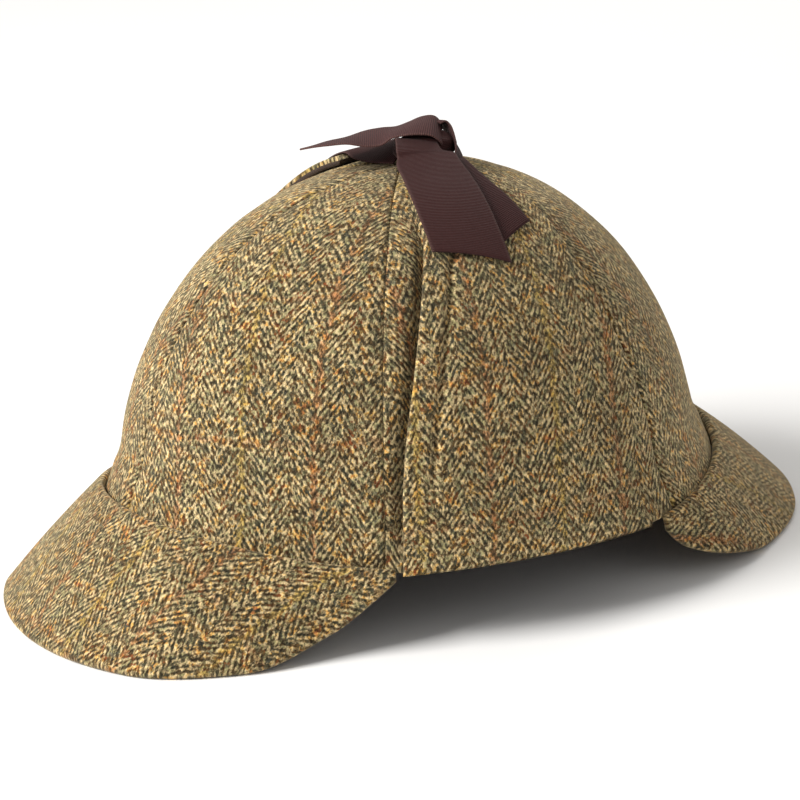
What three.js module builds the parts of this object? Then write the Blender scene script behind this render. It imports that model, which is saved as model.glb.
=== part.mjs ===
// A deerstalker hat in tweed, standing on its two brims, with its ear flaps turned up and
// tied over the crown by a ribbon.
//
// Millimetres, +Z up. The wearer faces -Y and the wearer's left is +X. The origin is on the
// surface that the hat stands on, under the middle of its outline.
//
// "turn" is an angle round the crown in degrees: 0 at the front, 90 at the wearer's left and
// 180 at the back. "climb" is an angle up the crown's side: 0 at the rim, 90 at the top.

import * as THREE from 'three';
import { mergeVertices } from 'three/addons/utils/BufferGeometryUtils.js';

// ---- Driving dimensions ---------------------------------------------------------------

// The rim is an egg-shaped oval. It dips at the ears and rises at the front and the back.
const rim = { halfLength: 103, halfWidth: 88, eggShare: 0.095, earHeight: 22.5, frontRise: 14.8, backRise: 9.4 };

// The crown's side view: a dome whose width share is waist * cos(climb), over a short flare.
const dome = { height: 106.5, waist: 0.947, roundness: 2.25, fullness: 1.8, flareShare: 0.145, apexShift: 4 };

const wall = { cloth: 2, hem: 2.5, seamGap: 0.38, lowestTipRadius: 2.6 };

// Both brims reach equally far, so the outline's middle is the crown's own middle.
const brimBuild = { thickness: 3, foot: 3, edgeHeight: 2.4, bow: 1.2, endShare: 0.975, crownGap: 0.38 };

// Each brim, from its middle (along 0) to its pointed end (along 1): how far it stands out
// from the rim, and how high its outer edge is above the surface.
const frontBrimRows = [
  { along: 0.00, reach: 37.0, edge: 0.0 },
  { along: 0.33, reach: 36.0, edge: 0.0 },
  { along: 0.60, reach: 24.0, edge: 0.0 },
  { along: 0.80, reach: 10.0, edge: 7.5 },
  { along: 0.92, reach: 5.5, edge: 16.5 },
  { along: 1.00, reach: 1.5, edge: 23.0 },
];
const backBrimRows = [
  { along: 0.00, reach: 37.0, edge: 0.0 },
  { along: 0.33, reach: 31.0, edge: 0.0 },
  { along: 0.60, reach: 21.2, edge: 0.0 },
  { along: 0.80, reach: 14.0, edge: 5.0 },
  { along: 0.92, reach: 6.0, edge: 11.0 },
  { along: 1.00, reach: 1.5, edge: 21.5 },
];
const brimHalfTurn = { front: 63.4, back: 66.2 };

// The ear flap, from its fold at the rim up to its tip: where its front and back edges lie
// on the crown, and how far each edge stands off.
const flapBuild = { thickness: 3, crownGap: 0.5, foldHeight: 23.8 };
const flapRows = [
  { frontTurn: 63.0, frontClimb: 0.0, backTurn: 109.0, backClimb: 0.0, frontLift: 2.0, backLift: 2.0 },
  { frontTurn: 63.2, frontClimb: 6.0, backTurn: 111.8, backClimb: 6.0, frontLift: 1.5, backLift: 0.8 },
  { frontTurn: 63.5, frontClimb: 14.4, backTurn: 112.6, backClimb: 16.0, frontLift: 1.4, backLift: 0.3 },
  { frontTurn: 64.5, frontClimb: 22.5, backTurn: 114.0, backClimb: 25.0, frontLift: 1.4, backLift: 0.3 },
  { frontTurn: 66.2, frontClimb: 30.6, backTurn: 115.8, backClimb: 33.0, frontLift: 1.4, backLift: 0.3 },
  { frontTurn: 68.0, frontClimb: 39.0, backTurn: 116.7, backClimb: 41.5, frontLift: 1.3, backLift: 0.3 },
  { frontTurn: 70.0, frontClimb: 48.0, backTurn: 118.2, backClimb: 50.0, frontLift: 1.1, backLift: 0.2 },
  { frontTurn: 71.8, frontClimb: 57.5, backTurn: 121.2, backClimb: 58.5, frontLift: 0.8, backLift: 0.1 },
  { frontTurn: 70.0, frontClimb: 67.0, backTurn: 125.0, backClimb: 66.3, frontLift: 0.3, backLift: 0.0 },
  { frontTurn: 68.0, frontClimb: 74.0, backTurn: 126.5, backClimb: 73.0, frontLift: 0.0, backLift: 0.0 },
];

// The ribbon's strands. x and y place the middle of the strand, clear is its height over the
// crown's cloth, bearing is the plan angle of its width from +X, and roll tips that width.
const ribbon = { thickness: 1.2, steps: 4 };
const rightLeadRows = [
  { x: -36.0, y: 7.5, clear: 4.7, width: 24.0, bearing: 90, roll: 0 },
  { x: -27.0, y: 7.0, clear: 4.7, width: 24.0, bearing: 90, roll: 0 },
  { x: -17.0, y: 5.5, clear: 4.8, width: 20.0, bearing: 90, roll: 0 },
  { x: -6.5, y: 4.5, clear: 5.2, width: 14.0, bearing: 90, roll: 0 },
];
const leftLeadRows = [
  { x: 32.0, y: 6.5, clear: 4.7, width: 22.0, bearing: 90, roll: 0 },
  { x: 25.0, y: 6.5, clear: 4.7, width: 20.0, bearing: 90, roll: 0 },
  { x: 20.0, y: 5.0, clear: 4.7, width: 17.0, bearing: 90, roll: 0 },
  { x: 15.5, y: 3.0, clear: 4.6, width: 12.0, bearing: 90, roll: 0 },
];
const frontTailRows = [
  { x: 10.8, y: -1.2, clear: 10.1, width: 12.0, bearing: 80, roll: 0 },
  { x: 14.5, y: -1.0, clear: 10.0, width: 12.5, bearing: 78, roll: 0 },
  { x: 20.5, y: 0.5, clear: 8.9, width: 18.0, bearing: 75, roll: 0 },
  { x: 28.0, y: 0.0, clear: 8.2, width: 20.5, bearing: 73, roll: 0 },
  { x: 35.0, y: -1.2, clear: 8.1, width: 21.5, bearing: 72, roll: 0 },
  { x: 44.0, y: -2.8, clear: 7.4, width: 22.0, bearing: 71, roll: 0 },
  { x: 53.0, y: -4.5, clear: 6.8, width: 22.0, bearing: 70, roll: 0 },
];
const backTailRows = [
  { x: 18.5, y: 7.5, clear: 6.6, width: 15.0, bearing: 104, roll: 0 },
  { x: 24.0, y: 6.7, clear: 6.5, width: 18.5, bearing: 104, roll: 0 },
  { x: 33.0, y: 7.0, clear: 6.5, width: 20.0, bearing: 104, roll: 0 },
  { x: 42.0, y: 9.4, clear: 5.4, width: 21.0, bearing: 106, roll: 0 },
  { x: 49.0, y: 11.6, clear: 5.0, width: 21.0, bearing: 108, roll: 0 },
];
const bandRows = [
  { x: 8.4, y: 12.8, clear: 2.4, width: 13.0, bearing: -50, roll: 8 },
  { x: 10.0, y: 14.6, clear: 5.4, width: 14.5, bearing: -50, roll: 10 },
  { x: 9.9, y: 14.6, clear: 8.4, width: 16.0, bearing: -47, roll: 5 },
  { x: 8.6, y: 13.2, clear: 11.0, width: 18.0, bearing: -44, roll: -2 },
  { x: 6.0, y: 10.4, clear: 12.6, width: 20.0, bearing: -41, roll: -4 },
  { x: 3.4, y: 6.0, clear: 12.4, width: 20.0, bearing: -38, roll: 0 },
  { x: 1.2, y: 2.2, clear: 10.9, width: 20.0, bearing: -36, roll: 2 },
  { x: -1.2, y: -2.0, clear: 9.6, width: 20.0, bearing: -32, roll: -4 },
  { x: -3.9, y: -7.0, clear: 9.7, width: 20.0, bearing: -30, roll: -1 },
  { x: -6.8, y: -12.3, clear: 10.0, width: 19.0, bearing: -29, roll: 6 },
  { x: -10.0, y: -17.5, clear: 10.3, width: 17.0, bearing: -29, roll: 7 },
  { x: -12.6, y: -22.0, clear: 10.4, width: 11.0, bearing: -29, roll: 9 },
  { x: -14.4, y: -25.2, clear: 10.7, width: 3.0, bearing: -29, roll: 9 },
];
const knotCore = { x: 2.5, y: 4.5, clear: 5.0, halfLength: 6.5, halfWidth: 8.5, halfHeight: 4.2 };

const colours = { tweed: 0x6f6046, brim: 0x5d4f3a, flap: 0x746549, ribbon: 0x3a2a2b };

// ---- Small helpers --------------------------------------------------------------------

const radians = THREE.MathUtils.degToRad;
const mix = THREE.MathUtils.lerp;
const span = (first, last, steps) => Array.from({ length: steps + 1 }, (_, i) => mix(first, last, i / steps));
const point = (x, y, z) => new THREE.Vector3(x, y, z);

// A smooth value between table rows: a cubic that never overshoots them.
function smoothColumn(rows, at, column) {
  const x = rows.map((row) => row[at]);
  const y = rows.map((row) => row[column]);
  const slope = y.slice(1).map((value, i) => (value - y[i]) / (x[i + 1] - x[i]));
  const tangent = y.map((_, i) => {
    if (i === 0 || i === y.length - 1 || slope[i - 1] * slope[i] <= 0) return 0;
    return (2 * slope[i - 1] * slope[i]) / (slope[i - 1] + slope[i]);
  });
  tangent[y.length - 1] = slope[slope.length - 1];
  return (value) => {
    const i = Math.min(x.length - 2, Math.max(0, x.findLastIndex((start) => start <= value)));
    const step = x[i + 1] - x[i];
    const t = THREE.MathUtils.clamp((value - x[i]) / step, 0, 1);
    const bend = 3 * t * t - 2 * t * t * t;
    const leave = t * (1 - t) * (1 - t) * tangent[i];
    const arrive = t * t * (t - 1) * tangent[i + 1];
    return mix(y[i], y[i + 1], bend) + step * (leave + arrive);
  };
}

// Rows spaced evenly along a table, each column a Catmull-Rom curve through the table.
function smoothRows(rows, steps) {
  const names = Object.keys(rows[0]);
  return span(0, rows.length - 1, steps).map((place) => {
    const i = Math.min(rows.length - 2, Math.floor(place));
    const t = place - i;
    const row = {};
    for (const name of names) {
      const before = rows[Math.max(0, i - 1)][name];
      const after = rows[Math.min(rows.length - 1, i + 2)][name];
      const start = rows[i][name];
      const end = rows[i + 1][name];
      const pull = (2 * start - 2 * end + (end - before) / 2 + (after - start) / 2) * t;
      const curve = (pull - 3 * start + 3 * end - (end - before) - (after - start) / 2) * t;
      row[name] = ((curve + (end - before) / 2) * t) + start;
    }
    return row;
  });
}

// A closed solid between two grids of points of the same size, with its four edges closed.
function solidBetween(front, back) {
  const rows = front.length;
  const columns = front[0].length;
  const positions = [...front.flat(), ...back.flat()].flatMap((p) => [p.x, p.y, p.z]);
  const vertex = (side, i, j) => (side * rows + i) * columns + j;
  const triangles = [];
  const quad = (a, b, c, d) => triangles.push(a, b, c, a, c, d);
  for (let i = 0; i < rows - 1; i += 1) {
    for (let j = 0; j < columns - 1; j += 1) {
      quad(vertex(0, i, j), vertex(0, i + 1, j), vertex(0, i + 1, j + 1), vertex(0, i, j + 1));
      quad(vertex(1, i, j), vertex(1, i, j + 1), vertex(1, i + 1, j + 1), vertex(1, i + 1, j));
    }
    quad(vertex(0, i, 0), vertex(1, i, 0), vertex(1, i + 1, 0), vertex(0, i + 1, 0));
    const j = columns - 1;
    quad(vertex(0, i, j), vertex(0, i + 1, j), vertex(1, i + 1, j), vertex(1, i, j));
  }
  for (let j = 0; j < columns - 1; j += 1) {
    quad(vertex(0, 0, j), vertex(0, 0, j + 1), vertex(1, 0, j + 1), vertex(1, 0, j));
    const i = rows - 1;
    quad(vertex(0, i, j), vertex(1, i, j), vertex(1, i, j + 1), vertex(0, i, j + 1));
  }
  return facingOut(positions, triangles);
}

// The geometry of a closed triangle list, turned round if its volume comes out negative.
function facingOut(positions, triangles) {
  const corner = (i) => new THREE.Vector3().fromArray(positions, 3 * i);
  let volume = 0;
  for (let i = 0; i < triangles.length; i += 3) {
    const [a, b, c] = [corner(triangles[i]), corner(triangles[i + 1]), corner(triangles[i + 2])];
    volume += a.dot(b.cross(c));
  }
  if (volume < 0) triangles.reverse();
  const geometry = new THREE.BufferGeometry();
  geometry.setAttribute('position', new THREE.Float32BufferAttribute(positions, 3));
  geometry.setIndex(triangles);
  geometry.computeVertexNormals();
  return geometry;
}

const mirrored = (grid) => grid.map((row) => row.map((p) => point(-p.x, p.y, p.z)));

// ---- The crown's surface --------------------------------------------------------------

function rimHeight(turn) {
  const facing = Math.cos(radians(turn));
  const rise = facing > 0 ? rim.frontRise : rim.backRise;
  return rim.earHeight + rise * facing * facing;
}

// A point of the rim's oval, moved outwards by an offset.
function rimPoint(turn, offset) {
  const angle = radians(turn);
  const narrowing = 1 - rim.eggShare * Math.cos(angle);
  const x = (rim.halfWidth + offset) * Math.sin(angle) * narrowing;
  const y = -(rim.halfLength + offset) * Math.cos(angle);
  return point(x, y, rimHeight(turn));
}

function domeRise(climb) {
  return Math.pow(1 - Math.pow(Math.cos(radians(climb)), dome.roundness), 1 / dome.fullness);
}

// The crown at a turn and climb, moved outwards by an offset, from a rim at a given height.
function crownPoint(turn, climb, offset, fromHeight = rimHeight(turn)) {
  const rise = domeRise(climb);
  const flare = Math.pow(Math.max(0, 1 - rise / dome.flareShare), 2);
  const share = dome.waist * Math.cos(radians(climb)) + (1 - dome.waist) * flare;
  const edge = rimPoint(turn, offset);
  const top = rim.earHeight + dome.height + offset;
  return point(edge.x * share, edge.y * share + dome.apexShift * (1 - share), mix(fromHeight, top, rise));
}

// The height of the crown's upper surface, moved outwards by an offset, over a plan point.
function heightOver(x, y, offset) {
  let share = 0;
  let turn = 0;
  for (let pass = 0; pass < 12; pass += 1) {
    const along = (y - dome.apexShift * (1 - share)) / (rim.halfLength + offset);
    const narrowing = 1 - rim.eggShare * Math.cos(radians(turn));
    const across = x / ((rim.halfWidth + offset) * narrowing);
    share = Math.hypot(along, across);
    turn = THREE.MathUtils.radToDeg(Math.atan2(across, -along));
  }
  const climb = THREE.MathUtils.radToDeg(Math.acos(Math.min(1, share / dome.waist)));
  return mix(rimHeight(turn), rim.earHeight + dome.height + offset, domeRise(climb));
}

// ---- The pieces -----------------------------------------------------------------------

// One of the crown's six tapering panels, from its hem up to the small hole at the top.
function crownPanel(firstTurn, lastTurn) {
  const topClimb = 90 - THREE.MathUtils.radToDeg(wall.lowestTipRadius / rim.halfWidth);
  const climbs = span(0, topClimb, 17);
  const layer = (offset) => {
    const rowAt = (climb, drop) => {
      const reach = rim.halfWidth * Math.cos(radians(climb));
      const halfGap = THREE.MathUtils.radToDeg(wall.seamGap / 2 / reach);
      return span(firstTurn + halfGap, lastTurn - halfGap, 9).map((turn) => {
        const p = crownPoint(turn, climb, offset);
        p.z -= drop * Math.pow(Math.cos(radians(turn)), 2);
        return p;
      });
    };
    return [rowAt(0, wall.hem), ...climbs.map((climb) => rowAt(climb, 0))];
  };
  return solidBetween(layer(0), layer(-wall.cloth));
}

// A crescent brim. Its outer edge ends in a flat foot, which the hat stands on.
function brim(rows, halfTurn, middleTurn) {
  const reachAt = smoothColumn(rows, 'along', 'reach');
  const edgeAt = smoothColumn(rows, 'along', 'edge');
  const steep = Math.SQRT2;
  const upper = [];
  const lower = [];
  for (const along of span(-brimBuild.endShare, brimBuild.endShare, 36)) {
    const turn = middleTurn + along * halfTurn * (middleTurn === 0 ? 1 : -1);
    const reach = reachAt(Math.abs(along));
    const edge = edgeAt(Math.abs(along));
    const ahead = rimPoint(turn + 0.05, 0);
    const behind = rimPoint(turn - 0.05, 0);
    const outward = point(behind.y - ahead.y, ahead.x - behind.x, 0).normalize();
    if (outward.dot(behind) < 0) outward.negate();
    const start = rimPoint(turn, 0).addScaledVector(outward, brimBuild.crownGap);
    const end = start.clone().addScaledVector(outward, reach - brimBuild.crownGap);
    end.z = edge + brimBuild.edgeHeight;
    const foot = Math.min(brimBuild.foot, reach * 0.3);
    const across = [0, 0.33, 0.66, 1 - foot / reach, 1];
    const above = across.map((share) => {
      const p = start.clone().lerp(end, share);
      p.z += brimBuild.bow * 4 * share * (1 - share);
      return p;
    });
    const below = above.map((p, j) => {
      const depth = Math.min(brimBuild.thickness * steep, p.z - edge);
      return point(p.x, p.y, j < 3 ? p.z - depth : edge);
    });
    upper.push(above);
    lower.push(below);
  }
  return solidBetween(upper, lower);
}

// A turned-up ear flap, lying over the crown's side from the rim to a squared tip.
function earFlap(side) {
  const rows = smoothRows(flapRows, 20);
  const layer = (depth) => rows.map((row) => span(0, 1, 11).map((share) => {
    const turn = mix(row.frontTurn, row.backTurn, share);
    const climb = mix(row.frontClimb, row.backClimb, share);
    const lift = row.frontLift * Math.pow(1 - share, 3) + row.backLift * Math.pow(share, 3);
    return crownPoint(turn, climb, flapBuild.crownGap + lift + depth, flapBuild.foldHeight);
  }));
  const grids = [layer(flapBuild.thickness), layer(0)];
  const [outer, inner] = side > 0 ? grids : grids.map(mirrored);
  return solidBetween(outer, inner);
}

// A flat strand of ribbon along a table of rows, with the ribbon's thickness about it.
function strand(rows, steps) {
  const grid = smoothRows(rows, steps).map((row) => span(-row.width / 2, row.width / 2, ribbon.steps).map((out) => {
    const x = row.x + out * Math.cos(radians(row.bearing)) * Math.cos(radians(row.roll));
    const y = row.y + out * Math.sin(radians(row.bearing)) * Math.cos(radians(row.roll));
    return point(x, y, heightOver(x, y, row.clear) + out * Math.sin(radians(row.roll)));
  }));
  const count = grid.length;
  const moved = (distance) => grid.map((row, i) => row.map((p, j) => {
    const next = grid[Math.min(count - 1, i + 1)];
    const last = grid[Math.max(0, i - 1)];
    const along = next[j].clone().sub(last[j]);
    const across = row[Math.min(row.length - 1, j + 1)].clone().sub(row[Math.max(0, j - 1)]);
    return p.clone().addScaledVector(along.cross(across).normalize(), distance);
  }));
  return solidBetween(moved(ribbon.thickness / 2), moved(-ribbon.thickness / 2));
}

// The gathered middle of the knot, where the strands cross: one rounded lump.
function knot() {
  const ball = new THREE.SphereGeometry(1, 18, 12);
  ball.deleteAttribute('normal');
  ball.deleteAttribute('uv');
  const lump = mergeVertices(ball);
  lump.scale(knotCore.halfLength, knotCore.halfWidth, knotCore.halfHeight);
  const height = heightOver(knotCore.x, knotCore.y, knotCore.clear);
  lump.translate(knotCore.x, knotCore.y, height);
  lump.computeVertexNormals();
  return lump;
}

// ---- The assembly ---------------------------------------------------------------------

const material = (color, roughness) => new THREE.MeshStandardMaterial({ color, roughness, metalness: 0 });

const hat = new THREE.Group();

function add(name, geometry, color, roughness = 0.95) {
  const mesh = new THREE.Mesh(geometry, material(color, roughness));
  mesh.name = name;
  hat.add(mesh);
}

const panelNames = [
  'crown_front_left',
  'crown_side_left',
  'crown_back_left',
  'crown_back_right',
  'crown_side_right',
  'crown_front_right',
];
panelNames.forEach((name, i) => add(name, crownPanel(60 * i, 60 * (i + 1)), colours.tweed));

add('front_brim', brim(frontBrimRows, brimHalfTurn.front, 0), colours.brim);
add('back_brim', brim(backBrimRows, brimHalfTurn.back, 180), colours.brim);
add('ear_flap_left', earFlap(1), colours.flap);
add('ear_flap_right', earFlap(-1), colours.flap);
add('ribbon_right_lead', strand(rightLeadRows, 8), colours.ribbon, 0.6);
add('ribbon_left_lead', strand(leftLeadRows, 8), colours.ribbon, 0.6);
add('ribbon_front_tail', strand(frontTailRows, 18), colours.ribbon, 0.6);
add('ribbon_back_tail', strand(backTailRows, 14), colours.ribbon, 0.6);
add('ribbon_band', strand(bandRows, 40), colours.ribbon, 0.6);
add('ribbon_knot', knot(), colours.ribbon, 0.6);

export default hat;
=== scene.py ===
"""A deerstalker hat in herringbone tweed, its ear flaps tied up over the crown by a ribbon.

Metres, +Z up. The wearer faces -Y and the wearer's left is +X. The hat stands on its two brims
at Z = 0. "turn" is an angle round the crown, 0 at the front and 90 at the wearer's left, and
"climb" is an angle up the crown's side, 0 at the rim and 90 at the top.
"""

import bpy
import numpy as np
from bpy.props import FloatProperty, FloatVectorProperty, PointerProperty
from mathutils import Matrix, Vector


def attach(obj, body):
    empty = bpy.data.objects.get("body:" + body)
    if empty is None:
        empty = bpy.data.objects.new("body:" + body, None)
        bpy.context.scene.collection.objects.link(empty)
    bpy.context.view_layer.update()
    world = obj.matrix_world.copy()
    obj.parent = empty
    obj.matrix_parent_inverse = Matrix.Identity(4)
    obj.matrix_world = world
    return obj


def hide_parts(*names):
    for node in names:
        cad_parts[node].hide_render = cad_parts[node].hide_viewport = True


bl_info = {
    "name": "Deerstalker Hat",
    "version": (1, 0, 0),
    "blender": (4, 5, 0),
    "location": "View3D > Sidebar > Deerstalker",
    "description": "Builds a tweed deerstalker hat with tied-up ear flaps round its solid model",
    "category": "Add Mesh",
}

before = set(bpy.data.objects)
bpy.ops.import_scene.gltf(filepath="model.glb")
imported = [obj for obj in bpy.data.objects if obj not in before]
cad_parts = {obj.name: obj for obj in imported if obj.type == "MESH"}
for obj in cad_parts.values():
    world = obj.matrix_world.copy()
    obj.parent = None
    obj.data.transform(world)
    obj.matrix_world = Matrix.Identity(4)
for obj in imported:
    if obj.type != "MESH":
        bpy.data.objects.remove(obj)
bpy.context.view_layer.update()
MM = 0.001

GORES = {
    "crown_front_left": 0,
    "crown_side_left": 60,
    "crown_back_left": 120,
    "crown_back_right": 180,
    "crown_side_right": 240,
    "crown_front_right": 300,
}

# How each panel is cut from the cloth: its grain's lean in degrees, then its place across and
# along the cloth in millimetres.
GRAIN = {
    "crown_front_left": (-7, 18, 0),
    "crown_side_left": (0, 307, 13),
    "crown_back_left": (3, 620, 26),
    "crown_back_right": (-3, 931, 39),
    "crown_side_right": (0, 1244, 7),
    "crown_front_right": (7, 1530, 21),
}

# Millimetres. Along each brim from its middle (0) to its pointed end (1): how far it stands
# out from the rim, and how high its outer edge is.
FRONT_BRIM = np.array([
    (0.00, 37.0, 0.0), (0.33, 36.0, 0.0), (0.60, 24.0, 0.0),
    (0.80, 10.0, 7.5), (0.92, 5.5, 16.5), (1.00, 1.5, 23.0),
])
BACK_BRIM = np.array([
    (0.00, 37.0, 0.0), (0.33, 31.0, 0.0), (0.60, 21.2, 0.0),
    (0.80, 14.0, 5.0), (0.92, 6.0, 11.0), (1.00, 1.5, 21.5),
])

# Degrees and millimetres, from the flap's fold up to its tip: the turn and climb of its front
# edge, the turn and climb of its back edge, and how far each edge stands off the crown.
EAR_FLAP = np.array([
    (63.0, 0.0, 109.0, 0.0, 2.0, 2.0),
    (63.2, 6.0, 111.8, 6.0, 1.5, 0.8),
    (63.5, 14.4, 112.6, 16.0, 1.4, 0.3),
    (64.5, 22.5, 114.0, 25.0, 1.4, 0.3),
    (66.2, 30.6, 115.8, 33.0, 1.4, 0.3),
    (68.0, 39.0, 116.7, 41.5, 1.3, 0.3),
    (70.0, 48.0, 118.2, 50.0, 1.1, 0.2),
    (71.8, 57.5, 121.2, 58.5, 0.8, 0.1),
    (70.0, 67.0, 125.0, 66.3, 0.3, 0.0),
    (68.0, 74.0, 126.5, 73.0, 0.0, 0.0),
])

# Each strand of ribbon, row by row: x and y of its middle, its height over the crown's cloth and
# its width, in millimetres, then the bearing of its width from +X and the roll of that width.
RIBBON = {
    "right_lead": np.array([
        (-36.0, 7.5, 4.2, 24.0, 90.0, 0.0),
        (-27.0, 7.0, 4.2, 24.0, 90.0, 0.0),
        (-20.0, 5.5, 4.2, 22.0, 90.0, 2.0),
        (-14.0, 2.5, 3.8, 18.0, 90.0, 11.0),
        (-8.0, 1.5, 3.5, 14.5, 92.0, 21.0),
        (-3.0, 2.0, 3.6, 12.0, 95.0, 30.0),
        (1.5, 3.4, 3.6, 10.0, 100.0, 35.0),
    ]),
    "left_lead": np.array([
        (32.0, 6.5, 4.2, 22.0, 90.0, 0.0),
        (25.0, 6.5, 4.2, 20.0, 90.0, 0.0),
        (20.0, 5.0, 4.3, 17.0, 90.0, 0.0),
        (15.5, 3.0, 4.5, 12.0, 90.0, 0.0),
    ]),
    "front_tail": np.array([
        (8.2, 3.4, 9.4, 13.0, 79.0, -6.0),
        (11.4, 2.8, 10.2, 14.0, 78.0, -8.0),
        (14.4, 1.4, 9.8, 14.2, 77.0, -7.0),
        (17.2, 0.6, 9.0, 15.4, 76.0, -4.0),
        (19.0, 1.8, 8.3, 18.8, 75.0, 0.0),
        (22.5, 0.5, 7.6, 20.8, 74.0, 0.0),
        (28.0, -0.3, 6.9, 22.0, 73.0, 0.0),
        (35.0, -1.5, 6.6, 23.2, 72.0, 0.0),
        (44.0, -3.0, 6.2, 24.0, 71.0, 0.0),
        (54.5, -4.6, 5.8, 24.6, 68.5, 0.0),
    ]),
    "back_tail": np.array([
        (3.1, 15.2, 12.3, 11.0, 166.0, -8.0),
        (3.9, 16.5, 12.8, 11.0, 170.0, -12.0),
        (5.8, 17.7, 11.0, 11.5, 167.0, -10.0),
        (11.9, 16.9, 7.0, 12.5, 151.0, -6.0),
        (17.4, 13.6, 4.9, 13.5, 131.0, -9.0),
        (20.8, 9.4, 5.5, 15.4, 117.0, -4.0),
        (25.5, 6.6, 5.7, 17.6, 105.0, 0.0),
        (33.0, 6.5, 5.3, 19.0, 104.0, 0.0),
        (42.0, 8.9, 4.9, 20.4, 106.0, 0.0),
        (51.5, 11.4, 4.7, 21.0, 112.0, 0.0),
    ]),
    "band": np.array([
        (5.6, 9.0, 5.2, 11.0, -34.0, 0.0),
        (8.4, 12.6, 7.4, 11.5, -32.0, 0.0),
        (9.4, 13.4, 10.2, 14.0, -32.0, -8.0),
        (7.4, 11.6, 12.8, 18.0, -35.0, -5.0),
        (4.8, 7.9, 12.9, 20.0, -37.0, -1.0),
        (2.5, 4.3, 11.8, 20.0, -36.0, 3.0),
        (0.6, 1.0, 10.8, 20.0, -35.0, 4.0),
        (-1.4, -2.4, 9.8, 20.0, -32.0, -2.0),
        (-3.9, -7.0, 9.7, 20.0, -30.0, -1.0),
        (-6.8, -12.3, 10.0, 19.0, -29.0, 6.0),
        (-10.0, -17.5, 10.3, 17.0, -29.0, 7.0),
        (-12.6, -22.0, 10.4, 11.0, -29.0, 9.0),
        (-14.4, -25.2, 10.7, 3.0, -29.0, 9.0),
    ]),
}


# ---- What a user may change ----------------------------------------------------------


def length(name, description, millimetres):
    return FloatProperty(name=name, description=description, default=millimetres * MM, unit="LENGTH",
                         precision=5)


def number(name, description, default):
    return FloatProperty(name=name, description=description, default=default)


def colour(name, description, default):
    return FloatVectorProperty(name=name, description=description, default=default, size=3, min=0, max=1,
                               subtype="COLOR")


class DeerstalkerShape(bpy.types.PropertyGroup):
    """The sizes of the crown, the brims and the flaps."""

    half_length: length("Rim half length", "Half of the rim's oval from front to back", 103)
    half_width: length("Rim half width", "Half of the rim's oval from side to side", 88)
    egg_share: number("Egg share", "How much narrower the rim's oval is in front than behind", 0.095)
    ear_height: length("Ear height", "Height of the rim over the ears", 22.5)
    front_rise: length("Front rise", "How much higher the rim is in front than over the ears", 14.8)
    back_rise: length("Back rise", "How much higher the rim is behind than over the ears", 9.4)
    dome_height: length("Crown height", "From the rim over the ears to the top of the crown", 106.5)
    waist: number("Waist", "Share of the rim's oval that the dome springs from", 0.947)
    roundness: number("Roundness", "Power of the cosine in the dome's rise", 2.25)
    fullness: number("Fullness", "Root that fills the dome's shoulders out", 1.8)
    flare_share: number("Flare", "Share of the crown's height that flares out to the rim", 0.145)
    apex_shift: length("Apex shift", "How far behind the rim's middle the top lies", 4)
    cloth: length("Crown cloth", "Thickness of the crown's tweed and lining together", 2)
    hem: length("Hem", "How far the crown's edge hangs inside the brims", 4)
    brim: length("Brim", "Thickness of a brim", 3)
    flap: length("Ear flap", "Thickness of an ear flap", 3)


class DeerstalkerSewing(bpy.types.PropertyGroup):
    """How seams, edges and rows of stitching shape the cloth."""

    seam_gap: length("Seam gap", "Open line left between two panels", 0)
    seam_roll: length("Seam roll", "Radius of the cloth where it rolls into a seam", 1.7)
    seam_dip: length("Seam dip", "How far a panel sinks towards its seams", 0.5)
    seam_reach: length("Seam reach", "How wide that sunken strip is", 5)
    stitch_inset: length("Stitching inset", "Distance of the flap's stitching from its edge", 9)
    stitch_depth: length("Stitching depth", "Depth of the furrow that the stitching pulls in", 1.8)
    flap_furrow: length("Flap furrow", "Depth of the furrow in the crown along a flap's front edge", 3.2)
    unevenness: length("Unevenness", "How far the soft cloth wanders from its true surface", 0.35)


class DeerstalkerTweed(bpy.types.PropertyGroup):
    """The yarns and the weave."""

    column: length("Herringbone column", "Width of one column of slanting ribs", 7.6)
    rib: length("Rib spacing", "Distance between ribs, measured along the warp", 2.75)
    slant: number("Slant", "Rise of a rib over its run", 1.45)
    check: length("Overcheck", "Distance between coloured warp lines", 45.6)
    relief: length("Relief", "Height of the weave's ribs", 0.35)
    light: colour("Light yarn", "Main colour of the light yarn", (0.388, 0.300, 0.166))
    dark: colour("Dark yarn", "Main colour of the dark yarn", (0.058, 0.038, 0.021))
    rust: colour("Rust yarn", "Colour of the strong overcheck", (0.30, 0.085, 0.020))
    gold: colour("Gold yarn", "Colour of the faint overcheck", (0.38, 0.25, 0.050))
    # The lining's colour also covers the ear flaps' back layers, as painted shade along the flaps' edges.
    lining_and_shade: colour("Lining", "Colour of the plain lining inside the crown", (0.055, 0.035, 0.026))


class DeerstalkerRibbon(bpy.types.PropertyGroup):
    """The grosgrain ribbon."""

    thickness: length("Thickness", "Thickness of the ribbon", 0.6)
    pitch: length("Rib pitch", "Distance between the ribbon's cross ribs", 0.64)
    body: colour("Ribbon", "Colour of the ribbon", (0.050, 0.0185, 0.0175))
    selvedge: colour("Selvedge", "Colour of the ribbon's woven edges", (0.085, 0.045, 0.040))


class DeerstalkerStage(bpy.types.PropertyGroup):
    """Floor, light and camera."""

    floor: colour("Floor", "Colour of the floor", (0.97, 0.97, 0.97))
    azimuth: number("Azimuth", "Degrees that the camera stands round from the front", 60.103)
    elevation: number("Elevation", "Degrees that the camera stands above the level", 16.673)
    roll: number("Roll", "Degrees that the camera is rolled", -2.997)
    distance: length("Distance", "Camera to the middle of the hat", 987.2)
    aim_drop: length("Aim drop", "How far below the middle the camera aims", 24.05)
    lens: number("Lens", "Focal length in millimetres on a 36 mm wide sensor", 136.65)


# ---- Curves and surfaces -------------------------------------------------------------


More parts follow.
